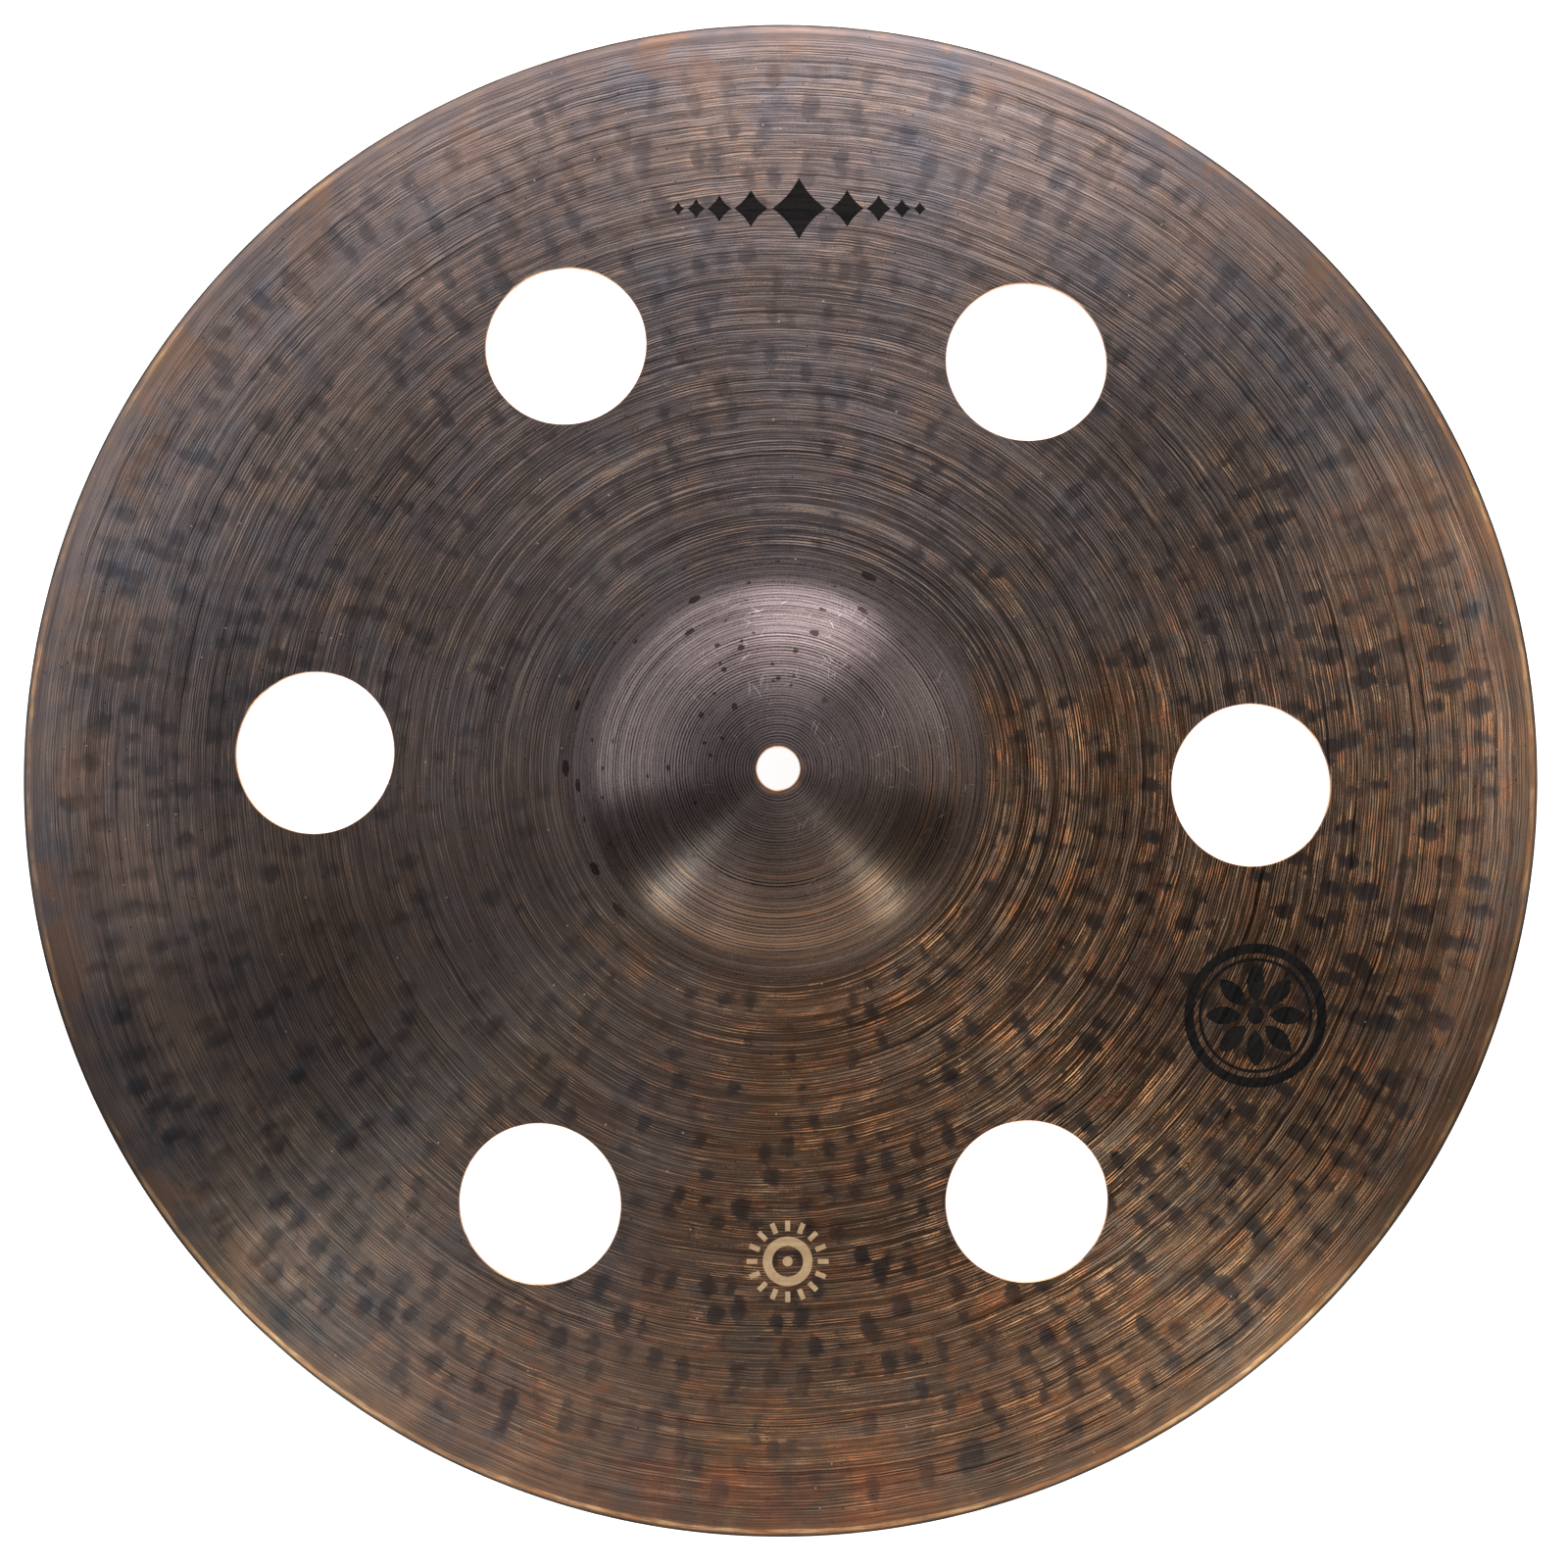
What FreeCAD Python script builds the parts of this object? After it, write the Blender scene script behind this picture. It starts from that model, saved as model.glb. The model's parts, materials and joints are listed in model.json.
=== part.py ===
"""An 18 inch effects crash cymbal: one hammered and lathed bronze disc with a raised bell,
a centre hole for its stand, and six large round sound holes cut through the bow.

Frame: +Z up, bell upwards. The origin is on the cymbal's axis, in the plane that its rim
rests on. +Y points to the front mark, which stands between holes 1 and 2. Millimetres.
"""

import FreeCAD, Part
import math
import os

import Sketcher

PARTS_FOLDER = "parts"
NODE = "cymbal"

# Driving dimensions. Each becomes one cell of the sheet, under this name.
DIMENSIONS = {
    "disc_radius": 228.6,
    "rim_thickness": 0.9,
    "rim_land_width": 0.5,
    "rim_round_radius": 0.35,
    "bow_radius_top": 1009.0,
    "bow_radius_under": 1020.0,
    "bell_height": 44.0,
    "bell_radius_top": 91.0,
    "bell_thickness": 1.4,
    "flare_radius_top": 18.0,
    "centre_hole_radius": 6.35,
    "centre_hole_chamfer": 0.35,
    "sound_hole_radius": 24.2,
    "sound_hole_chamfer": 0.2,
    "drill_length": 40.0,
}

# The six sound holes are set out by hand, so each has its own radius and bearing.
# (distance from the axis in mm, bearing in degrees, counter-clockwise from +X)
SOUND_HOLES = [
    (144.0, 59.0),
    (143.5, 116.5),
    (139.0, 177.5),
    (147.0, 241.0),
    (147.5, 300.0),
    (141.0, 358.5),
]


def add_sheet(doc):
    """The spreadsheet: plain numbers, each cell with its name as alias."""
    sheet = doc.addObject("Spreadsheet::Sheet", "dims")
    values = dict(DIMENSIONS)
    for number, (distance, bearing) in enumerate(SOUND_HOLES, start=1):
        values[f"sound_hole_{number}_distance"] = distance
        values[f"sound_hole_{number}_bearing"] = bearing
    for row, (name, value) in enumerate(values.items(), start=1):
        sheet.set(f"A{row}", name)
        sheet.set(f"B{row}", str(value))
        sheet.setAlias(f"B{row}", name)
    doc.recompute()
    return sheet


def origin_feature(body, role):
    """One of the body's own origin planes or axes, found by its role."""
    return next(f for f in body.Origin.OriginFeatures if f.Role == role)


def arc_height(radius, distance):
    """How far an arc of this radius has fallen at this distance from its crown."""
    return radius - math.sqrt(radius**2 - distance**2)


def tangent_centre(bell_centre, bell_reach, bow_centre, bow_reach):
    """Where a circle that touches both the bell's and the bow's arc has its centre.
    Both given centres lie on the axis; the reaches are distances from them."""
    span = bell_centre - bow_centre
    along = (bow_reach**2 - bell_reach**2 + span**2) / (2 * span)
    return math.sqrt(bow_reach**2 - along**2), bow_centre + along


class Skin:
    """One side of the cymbal's section: bell arc, flare arc and bow arc, each tangent
    to the next. It gives a first guess at the arcs, which the sketch then solves."""

    def __init__(self, bell_radius, bell_top, flare_radius, bow_radius, rim_x, rim_z, hole_x):
        self.bell_radius = bell_radius
        self.flare_radius = flare_radius
        self.bow_radius = bow_radius
        self.bell_centre = bell_top - bell_radius
        self.bow_centre = rim_z + arc_height(bow_radius, rim_x) - bow_radius
        self.flare_centre = tangent_centre(
            self.bell_centre,
            bell_radius + flare_radius,
            self.bow_centre,
            bow_radius + flare_radius,
        )
        self.rim = (rim_x, rim_z)
        self.hole = (hole_x, bell_top - arc_height(bell_radius, hole_x))

    def arcs(self):
        """The bell, flare and bow arcs, from the hole outwards."""
        flare_x, flare_z = self.flare_centre
        to_flare = math.atan2(flare_z - self.bell_centre, flare_x)
        to_foot = math.atan2(flare_z - self.bow_centre, flare_x)
        to_hole = math.atan2(self.hole[1] - self.bell_centre, self.hole[0])
        to_rim = math.atan2(self.rim[1] - self.bow_centre, self.rim[0])
        return [
            arc(0, self.bell_centre, self.bell_radius, to_flare, to_hole),
            arc(flare_x, flare_z, self.flare_radius, to_flare - math.pi, to_foot - math.pi),
            arc(0, self.bow_centre, self.bow_radius, to_rim, to_foot),
        ]


def arc(x, z, radius, start, end):
    """A counter-clockwise arc in sketch coordinates."""
    circle = Part.Circle(FreeCAD.Vector(x, z, 0), FreeCAD.Vector(0, 0, 1), radius)
    return Part.ArcOfCircle(circle, start, end)


def line(start, end):
    return Part.LineSegment(FreeCAD.Vector(*start, 0), FreeCAD.Vector(*end, 0))


# Sketcher's numbers for the points of a line or an arc, and for the sketch's own axes.
START, END, CENTRE = 1, 2, 3
ORIGIN, VERTICAL_AXIS = -1, -2


def draw_skin(sketch, skin, bell_radius, flare_radius, bow_radius, bell_centre):
    """Adds one side's arcs with their constraints, bound to the given expressions."""
    bell, flare, bow = (sketch.addGeometry(a, False) for a in skin.arcs())
    add = sketch.addConstraint
    add(Sketcher.Constraint("PointOnObject", bell, CENTRE, VERTICAL_AXIS))
    add(Sketcher.Constraint("PointOnObject", bow, CENTRE, VERTICAL_AXIS))
    add(Sketcher.Constraint("Tangent", bell, START, flare, START))
    add(Sketcher.Constraint("Tangent", flare, END, bow, END))
    for geometry, value, expression in (
        (bell, skin.bell_radius, bell_radius),
        (flare, skin.flare_radius, flare_radius),
        (bow, skin.bow_radius, bow_radius),
    ):
        radius = add(Sketcher.Constraint("Radius", geometry, value))
        sketch.setExpression(f"Constraints[{radius}]", expression)
    height = add(Sketcher.Constraint("DistanceY", bell, CENTRE, ORIGIN, 1, -skin.bell_centre))
    sketch.setExpression(f"Constraints[{height}]", f"-({bell_centre})")
    return bell, bow


def draw_section(body, dims):
    """The section beside the axis, which the revolution turns into the disc. It stands
    on the YZ plane, so that the turned faces have their seam clear of every sound hole."""
    sketch = body.newObject("Sketcher::SketchObject", "section")
    sketch.AttachmentSupport = (origin_feature(body, "YZ_Plane"), [""])
    sketch.MapMode = "FlatFace"
    land_x = dims.disc_radius - dims.rim_land_width
    top = Skin(
        dims.bell_radius_top,
        dims.bell_height,
        dims.flare_radius_top,
        dims.bow_radius_top,
        dims.disc_radius,
        dims.rim_thickness,
        dims.centre_hole_radius,
    )
    under = Skin(
        dims.bell_radius_top - dims.bell_thickness,
        dims.bell_height - dims.bell_thickness,
        dims.flare_radius_top + dims.bell_thickness,
        dims.bow_radius_under,
        land_x,
        0,
        dims.centre_hole_radius,
    )
    bell_centre = "dims.bell_height - dims.bell_radius_top"
    top_bell, top_bow = draw_skin(
        sketch, top, "dims.bell_radius_top", "dims.flare_radius_top",
        "dims.bow_radius_top", bell_centre,
    )
    under_bell, under_bow = draw_skin(
        sketch, under, "dims.bell_radius_top - dims.bell_thickness",
        "dims.flare_radius_top + dims.bell_thickness", "dims.bow_radius_under", bell_centre,
    )
    wall = sketch.addGeometry(line(under.hole, top.hole), False)
    edge = sketch.addGeometry(line(top.rim, (dims.disc_radius, 0)), False)
    land = sketch.addGeometry(line((dims.disc_radius, 0), under.rim), False)
    add = sketch.addConstraint
    add(Sketcher.Constraint("Coincident", wall, START, under_bell, END))
    add(Sketcher.Constraint("Coincident", wall, END, top_bell, END))
    add(Sketcher.Constraint("Coincident", edge, START, top_bow, START))
    add(Sketcher.Constraint("Coincident", edge, END, land, START))
    add(Sketcher.Constraint("Coincident", land, END, under_bow, START))
    add(Sketcher.Constraint("Vertical", wall))
    add(Sketcher.Constraint("Vertical", edge))
    add(Sketcher.Constraint("Horizontal", land))
    sizes = (
        ("DistanceX", (ORIGIN, 1, wall, START), "dims.centre_hole_radius"),
        ("DistanceX", (ORIGIN, 1, edge, END), "dims.disc_radius"),
        ("DistanceX", (land, END, land, START), "dims.rim_land_width"),
        ("DistanceY", (edge, END, edge, START), "dims.rim_thickness"),
    )
    for kind, points, expression in sizes:
        value = getattr(dims, expression.removeprefix("dims."))
        number = add(Sketcher.Constraint(kind, *points, value))
        sketch.setExpression(f"Constraints[{number}]", expression)
    add(Sketcher.Constraint("PointOnObject", edge, END, -1))
    return sketch


def revolve_section(body, sketch):
    """The plain disc: rim, bow, flare, bell and the centre hole's wall in one turn."""
    disc = body.newObject("PartDesign::Revolution", "disc")
    disc.Profile = sketch
    disc.ReferenceAxis = (sketch, ["V_Axis"])
    disc.Angle = 360
    return disc


def cut_sound_hole(body, number):
    """One sound hole: a cylinder square to the bow where the hole stands."""
    drill = body.newObject("PartDesign::SubtractiveCylinder", f"sound_hole_{number}")
    distance = f"dims.sound_hole_{number}_distance"
    bearing = f"dims.sound_hole_{number}_bearing * 1 deg"
    lean = f"asin({distance} / dims.bow_radius_top)"
    bow_centre = "(dims.rim_thickness - sqrt(dims.bow_radius_top ^ 2 - dims.disc_radius ^ 2))"
    surface = f"({bow_centre} + sqrt(dims.bow_radius_top ^ 2 - {distance} ^ 2))"
    back = "dims.drill_length / 2"
    # The cylinder is drawn along its own +Z from its base, which lies half a drill
    # length below the bow along the hole's own axis.
    reach = f"({distance} - {back} * sin({lean}))"
    drill.setExpression("Radius", "dims.sound_hole_radius")
    drill.setExpression("Height", "dims.drill_length")
    drill.setExpression("AttachmentOffset.Base.x", f"{reach} * cos({bearing})")
    drill.setExpression("AttachmentOffset.Base.y", f"{reach} * sin({bearing})")
    drill.setExpression("AttachmentOffset.Base.z", f"{surface} - {back} * cos({lean})")
    drill.setExpression("AttachmentOffset.Rotation.Axis.x", f"-sin({bearing})")
    drill.setExpression("AttachmentOffset.Rotation.Axis.y", f"cos({bearing})")
    drill.setExpression("AttachmentOffset.Rotation.Axis.z", "0")
    drill.setExpression("AttachmentOffset.Rotation.Angle", lean)
    drill.AttachmentSupport = (origin_feature(body, "XY_Plane"), [""])
    drill.MapMode = "FlatFace"
    return drill


def is_circle_at(edge, radius, low=-math.inf):
    """Whether an edge is a full circle of this radius about the Z axis, above low."""
    curve = edge.Curve
    return (
        isinstance(curve, Part.Circle)
        and abs(curve.Radius - radius) < 0.01
        and math.hypot(curve.Center.x, curve.Center.y) < 0.01
        and curve.Center.z > low
    )


def edge_names(shape, wanted):
    return [f"Edge{i}" for i, edge in enumerate(shape.Edges, start=1) if wanted(edge)]


def chamfer_centre_hole(body, base, dims):
    """Takes the sharp edges off the centre hole, above and below."""
    chamfer = body.newObject("PartDesign::Chamfer", "centre_hole_chamfer")
    names = edge_names(base.Shape, lambda e: is_circle_at(e, dims.centre_hole_radius))
    chamfer.Base = (base, names)
    chamfer.setExpression("Size", "dims.centre_hole_chamfer")
    return chamfer


def round_rim(body, base, dims):
    """Rounds the rim's upper edge, as filing leaves it."""
    fillet = body.newObject("PartDesign::Fillet", "rim_round")
    low = dims.rim_thickness / 2
    names = edge_names(base.Shape, lambda e: is_circle_at(e, dims.disc_radius, low))
    fillet.Base = (base, names)
    fillet.setExpression("Radius", "dims.rim_round_radius")
    return fillet


def chamfer_sound_holes(body, base, dims):
    """Breaks both edges of every sound hole."""
    wall_faces = [
        face for face in base.Shape.Faces
        if isinstance(face.Surface, Part.Cylinder)
        and abs(face.Surface.Radius - dims.sound_hole_radius) < 0.01
    ]
    wall_edges = [edge for face in wall_faces for edge in face.Edges]
    chamfer = body.newObject("PartDesign::Chamfer", "sound_hole_chamfer")
    names = edge_names(
        base.Shape,
        lambda e: not isinstance(e.Curve, Part.Line) and any(e.isSame(w) for w in wall_edges),
    )
    chamfer.Base = (base, names)
    chamfer.setExpression("Size", "dims.sound_hole_chamfer")
    return chamfer


def make_cymbal(doc, dims):
    """The cymbal: the whole object is this one piece of bronze."""
    body = doc.addObject("PartDesign::Body", "cymbal_body")
    body.Label = NODE
    section = draw_section(body, dims)
    doc.recompute()
    disc = revolve_section(body, section)
    doc.recompute()
    rounded = round_rim(body, disc, dims)
    doc.recompute()
    chamfered = chamfer_centre_hole(body, rounded, dims)
    doc.recompute()
    plain_volume = chamfered.Shape.Volume
    for number in range(1, len(SOUND_HOLES) + 1):
        cut = cut_sound_hole(body, number)
        doc.recompute()
    print(f"sound holes took {plain_volume - cut.Shape.Volume:.0f} mm3")
    chamfer_sound_holes(body, cut, dims)
    doc.recompute()
    return body


def check(doc, bodies):
    """Stops the build if any object failed or any piece is not a sound solid."""
    for item in doc.Objects:
        if {"Invalid", "Error"} & set(item.State):
            raise SystemExit(f"{item.Name} is {item.State}")
    for body in bodies:
        shape = body.Shape
        if shape.isNull() or not shape.isValid() or not shape.Solids:
            raise SystemExit(f"{body.Label} is not a valid solid")


def main():
    doc = FreeCAD.newDocument("cymbal")
    dims = add_sheet(doc)
    bodies = [make_cymbal(doc, dims)]
    check(doc, bodies)
    os.makedirs(PARTS_FOLDER, exist_ok=True)
    for body in bodies:
        body.Shape.exportStep(os.path.join(PARTS_FOLDER, body.Label + ".step"))
        box = body.Shape.BoundBox
        print(
            f"{body.Label}: {box.XLength:.2f} x {box.YLength:.2f} x {box.ZLength:.2f} mm,"
            f" {body.Shape.Volume:.0f} mm3, {len(body.Shape.Solids)} solid,"
            f" {len(body.Shape.Faces)} faces"
        )


main()
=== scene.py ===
"""Looks of an 18 inch effects crash cymbal: hammered, lathed and darkened bronze.

The cymbal is one sheet of bronze. Its mesh is built here from the same arcs as the CAD section,
with the hammer marks as real dents, and three generic printed marks lie on it as films of ink.
Blender is in metres; the section and the marks are worked out in millimetres.
"""

import json
import math

import bpy
import numpy as np
from mathutils import Matrix, Vector
from mathutils.geometry import delaunay_2d_cdt


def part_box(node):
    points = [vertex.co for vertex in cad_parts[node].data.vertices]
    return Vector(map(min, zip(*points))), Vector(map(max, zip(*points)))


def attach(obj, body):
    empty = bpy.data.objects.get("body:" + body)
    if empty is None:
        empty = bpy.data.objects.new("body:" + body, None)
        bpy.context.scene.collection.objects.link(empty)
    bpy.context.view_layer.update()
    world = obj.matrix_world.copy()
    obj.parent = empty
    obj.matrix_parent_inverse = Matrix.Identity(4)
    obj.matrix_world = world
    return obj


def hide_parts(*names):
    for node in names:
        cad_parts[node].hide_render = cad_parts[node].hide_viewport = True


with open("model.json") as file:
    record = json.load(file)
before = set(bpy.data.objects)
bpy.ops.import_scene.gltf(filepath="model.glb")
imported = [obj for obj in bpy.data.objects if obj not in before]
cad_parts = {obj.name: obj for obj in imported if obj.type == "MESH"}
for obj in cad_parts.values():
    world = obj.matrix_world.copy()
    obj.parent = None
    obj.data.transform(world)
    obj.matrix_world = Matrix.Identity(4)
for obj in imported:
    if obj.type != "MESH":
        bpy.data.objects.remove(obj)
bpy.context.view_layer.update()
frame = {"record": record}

MM = 0.001

# ---------------------------------------------------------------- the section, in millimetres

cymbal_low, cymbal_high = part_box("cymbal")
RIM_RADIUS = (cymbal_high[0] - cymbal_low[0]) / 2 / MM
RIM_THICKNESS = 0.9
RIM_LAND = 0.5
RIM_ROUND = 0.35
BELL_CENTRE = -47.0
BELL_RADIUS = 91.0
FLARE_RADIUS = 18.0
BOW_RADIUS_TOP = 1009.0
BOW_RADIUS_UNDER = 1020.0
BELL_THICKNESS = 1.4
CENTRE_HOLE = 6.35
CENTRE_CHAMFER = 0.35
SOUND_HOLE = 24.2
SOUND_CHAMFER = 0.2

LOW_EDGE_ROUND = 0.06

# Mesh spacing along each face, in millimetres, and how many points each edge has.
TOP_SPACING = 1.72
UNDER_SPACING = 2.35
RIM_POINTS = 820
SOUND_HOLE_POINTS = 90
CENTRE_HOLE_POINTS = 48
MERGE_DISTANCE = 1e-7
SHARP_ANGLE = math.radians(35)


def sound_hole_centres():
    """Plan positions of the six sound holes, from the record's openings, in millimetres."""
    centres = []
    for opening in frame["record"]["physics"]["openings"]:
        if opening["name"].startswith("sound_hole"):
            low, high = (np.array(corner) / MM for corner in opening["box_m"])
            centres.append((low[:2] + high[:2]) / 2)
    return centres


HOLES = sound_hole_centres()


class Skin:
    """One face of the sheet: bell, flare and bow arcs, each tangent to the next."""

    def __init__(self, bell, flare, bow, edge_radius, edge_height):
        self.bell, self.flare, self.bow = bell, flare, bow
        self.bow_z = edge_height - math.sqrt(bow**2 - edge_radius**2)
        span = BELL_CENTRE - self.bow_z
        along = ((bow + flare) ** 2 - (bell + flare) ** 2 + span**2) / (2 * span)
        self.flare_r = math.sqrt((bow + flare) ** 2 - along**2)
        self.flare_z = self.bow_z + along
        self.bell_end = self.flare_r * bell / (bell + flare)
        self.bow_start = self.flare_r * bow / (bow + flare)

    def pick(self, r, bell, flare, bow):
        return np.where(r < self.bell_end, bell, np.where(r < self.bow_start, flare, bow))

    def height(self, r):
        bell = BELL_CENTRE + np.sqrt(np.maximum(self.bell**2 - r**2, 1.0))
        flare = self.flare_z - np.sqrt(np.maximum(self.flare**2 - (r - self.flare_r) ** 2, 1.0))
        bow = self.bow_z + np.sqrt(self.bow**2 - r**2)
        return self.pick(r, bell, flare, bow)

    def slope(self, r):
        bell = -r / np.sqrt(np.maximum(self.bell**2 - r**2, 1.0))
        off = r - self.flare_r
        flare = off / np.sqrt(np.maximum(self.flare**2 - off**2, 1.0))
        bow = -r / np.sqrt(self.bow**2 - r**2)
        return self.pick(r, bell, flare, bow)

    def lift(self, plan, sink=0.0):
        """Points of this face over plan positions, dented, and sink below it along its normal."""
        r = np.hypot(plan[:, 0], plan[:, 1])
        slope = self.slope(r)
        share = 1 / np.sqrt(1 + slope**2)
        out = plan / np.maximum(r, 1e-6)[:, None]
        normal = np.column_stack((-slope * share * out[:, 0], -slope * share * out[:, 1], share))
        base = np.column_stack((plan, self.height(r)))
        return base - normal * (hammered(plan)[0] + sink)[:, None]


TOP = Skin(BELL_RADIUS, FLARE_RADIUS, BOW_RADIUS_TOP, RIM_RADIUS, RIM_THICKNESS)
UNDER = Skin(
    BELL_RADIUS - BELL_THICKNESS,
    FLARE_RADIUS + BELL_THICKNESS,
    BOW_RADIUS_UNDER,
    RIM_RADIUS - RIM_LAND,
    0.0,
)

# ---------------------------------------------------------------- hammer marks

HAMMER_START = 70.0
HAMMER_END = 219.0
HAMMER_RING_STEP = 8.4
HAMMER_ARC_STEP = 8.8
HAMMER_REACH = 7.5
MISSED_BLOWS = 0.10

# The slow unevenness that hammering leaves: its height, and waves by x, y and phase.
UNEVENNESS = 0.028
WAVES = (
    (0.085, 0.040, 0.3),
    (-0.052, 0.091, 1.9),
    (0.118, -0.063, 4.1),
    (0.031, 0.137, 2.6),
    (-0.141, -0.022, 5.2),
)


def hammer_blows():
    """Every blow of the hammer: plan x and y, radial and tangential half sizes, depth."""
    rng = np.random.default_rng(18)
    blows = []
    ring = HAMMER_START
    turn = 0.0
    while ring < HAMMER_END:
        count = int(2 * math.pi * ring / HAMMER_ARC_STEP)
        near_rim = (ring - HAMMER_START) / (HAMMER_END - HAMMER_START)
        for k in range(count):
            if rng.random() < MISSED_BLOWS:
                continue
            bearing = turn + (k + rng.normal(0, 0.17)) * 2 * math.pi / count
            distance = ring + rng.normal(0, 1.5)
            radial = rng.uniform(4.2, 6.0) + 1.2 * near_rim
            tangential = rng.uniform(3.1, 4.3)
            depth = rng.uniform(0.04, 0.17) * (0.75 + 0.45 * near_rim)
            x, y = distance * math.cos(bearing), distance * math.sin(bearing)
            blows.append((x, y, radial, tangential, depth))
        ring += HAMMER_RING_STEP
        turn += 0.6 * HAMMER_ARC_STEP / ring + rng.normal(0, 0.01)
    return np.array(blows)


BLOWS = hammer_blows()
DEEPEST = BLOWS[:, 4].max()


def fade(value, start, end):
    """A smooth step from 0 at start to 1 at end."""
    t = np.clip((value - start) / (end - start), 0, 1)
    return t * t * (3 - 2 * t)


def undulation(plan):
    """How far the bow lies off its true arc, in millimetres."""
    x, y = plan[:, 0], plan[:, 1]
    return sum(UNEVENNESS * np.sin(a * x + b * y + phase) for a, b, phase in WAVES)


def hammered(plan):
    """How far each plan point is beaten in, in millimetres, and how marked it is, 0 to 1."""
    depth = np.zeros(len(plan))
    mark = np.zeros(len(plan))
    for x, y, radial, tangential, deep in BLOWS:
        beside = abs(plan[:, 0] - x) < HAMMER_REACH
        near = np.flatnonzero(beside & (abs(plan[:, 1] - y) < HAMMER_REACH))
        if not len(near):
            continue
        far = math.hypot(x, y)
        along = ((plan[near, 0] - x) * x + (plan[near, 1] - y) * y) / far
        across = ((plan[near, 1] - y) * x - (plan[near, 0] - x) * y) / far
        reach = (along / radial) ** 2 + (across / tangential) ** 2
        bowl = np.clip(1 - reach, 0, 1) ** 2
        depth[near] = np.maximum(depth[near], deep * bowl)
        mark[near] = np.maximum(mark[near], deep / DEEPEST * bowl**0.7)
    r = np.hypot(plan[:, 0], plan[:, 1])
    slow = fade(r, HAMMER_START - 8, HAMMER_START + 20) * (1 - fade(r, 215, RIM_RADIUS - 1))
    return depth + undulation(plan) * slow, mark


# ---------------------------------------------------------------- the cymbal's mesh


def ring_points(radius, count, turn=0.0):
    angles = turn + np.arange(count) * 2 * math.pi / count
    return np.column_stack((radius * np.cos(angles), radius * np.sin(angles)))


def hole_frame(centre):
    """A sound hole's middle on the top face, its axis, and two directions square to that."""
    r = math.hypot(*centre)
    middle = np.array((centre[0], centre[1], float(TOP.height(np.array(r)))))
    axis = (middle - (0, 0, TOP.bow_z)) / BOW_RADIUS_TOP
    across = np.array((-centre[1], centre[0], 0)) / r
    return middle, axis, np.cross(across, axis), across


def hole_ring(centre, radius, skin):
    """Where a cylinder of this radius about the hole's axis meets a face, in plan."""
    middle, axis, outward, across = hole_frame(centre)
    angles = np.arange(SOUND_HOLE_POINTS) * 2 * math.pi / SOUND_HOLE_POINTS
    points = (
        middle
        + radius * np.cos(angles)[:, None] * outward
        + radius * np.sin(angles)[:, None] * across
    )
    for _ in range(4):
        gap = points[:, 2] - skin.height(np.hypot(points[:, 0], points[:, 1]))
        points = points - gap[:, None] * axis
    return points[:, :2]


def face_mesh(skin, spacing, inner, outer):
    """One face of the sheet. Gives its points, its triangles and each edge loop's indices."""
    loops = [ring_points(inner, CENTRE_HOLE_POINTS), ring_points(outer, RIM_POINTS)]
    loops += [hole_ring(c, SOUND_HOLE + SOUND_CHAMFER, skin) for c in HOLES]
    filling = []
    steps = int((outer - inner) / (spacing * 0.87))
    for k in range(1, steps):
        radius = inner + (outer - inner) * k / steps
        arc = min(spacing, 0.9 + radius * 0.05)
        count = int(2 * math.pi * radius / arc)
        filling.append(ring_points(radius, count, k * 2.4))
    filling = np.vstack(filling)
    clear = np.ones(len(filling), bool)
    for centre, loop in zip(HOLES, loops[2:]):
        away = np.hypot(*(filling - loop.mean(axis=0)).T)
        clear &= away > SOUND_HOLE + SOUND_CHAMFER + spacing * 0.55
    plan = np.vstack(loops + [filling[clear]])
    starts = np.cumsum([0] + [len(loop) for loop in loops])
    rows = [np.arange(a, b) for a, b in zip(starts, starts[1:])]
    edges = [(int(a), int(b)) for row in rows for a, b in zip(row, np.roll(row, -1))]
    found = delaunay_2d_cdt([Vector(p) for p in plan], edges, [], 0, MERGE_DISTANCE, False)
    if len(found[0]) != len(plan):
        raise SystemExit("the face's points ran together")
    triangles = np.array(found[2])
    middle = plan[triangles].mean(axis=1)
    keep = np.hypot(*middle.T) > inner * math.cos(math.pi / CENTRE_HOLE_POINTS)
    for loop in loops[2:]:
        keep &= ~inside(middle, loop)
    return skin.lift(plan), triangles[keep], rows, hammered(plan)[1]


def inside(points, loop):
    """Whether each point lies inside a closed loop of plan points, by crossings."""
    x, y = points[:, 0][:, None], points[:, 1][:, None]
    ax, ay = loop[:, 0], loop[:, 1]
    bx, by = np.roll(ax, -1), np.roll(ay, -1)
    crosses = (ay > y) != (by > y)
    with np.errstate(divide="ignore", invalid="ignore"):
        at = ax + (y - ay) * (bx - ax) / (by - ay)
    return (crosses & (x < at)).sum(axis=1) % 2 == 1


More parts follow.
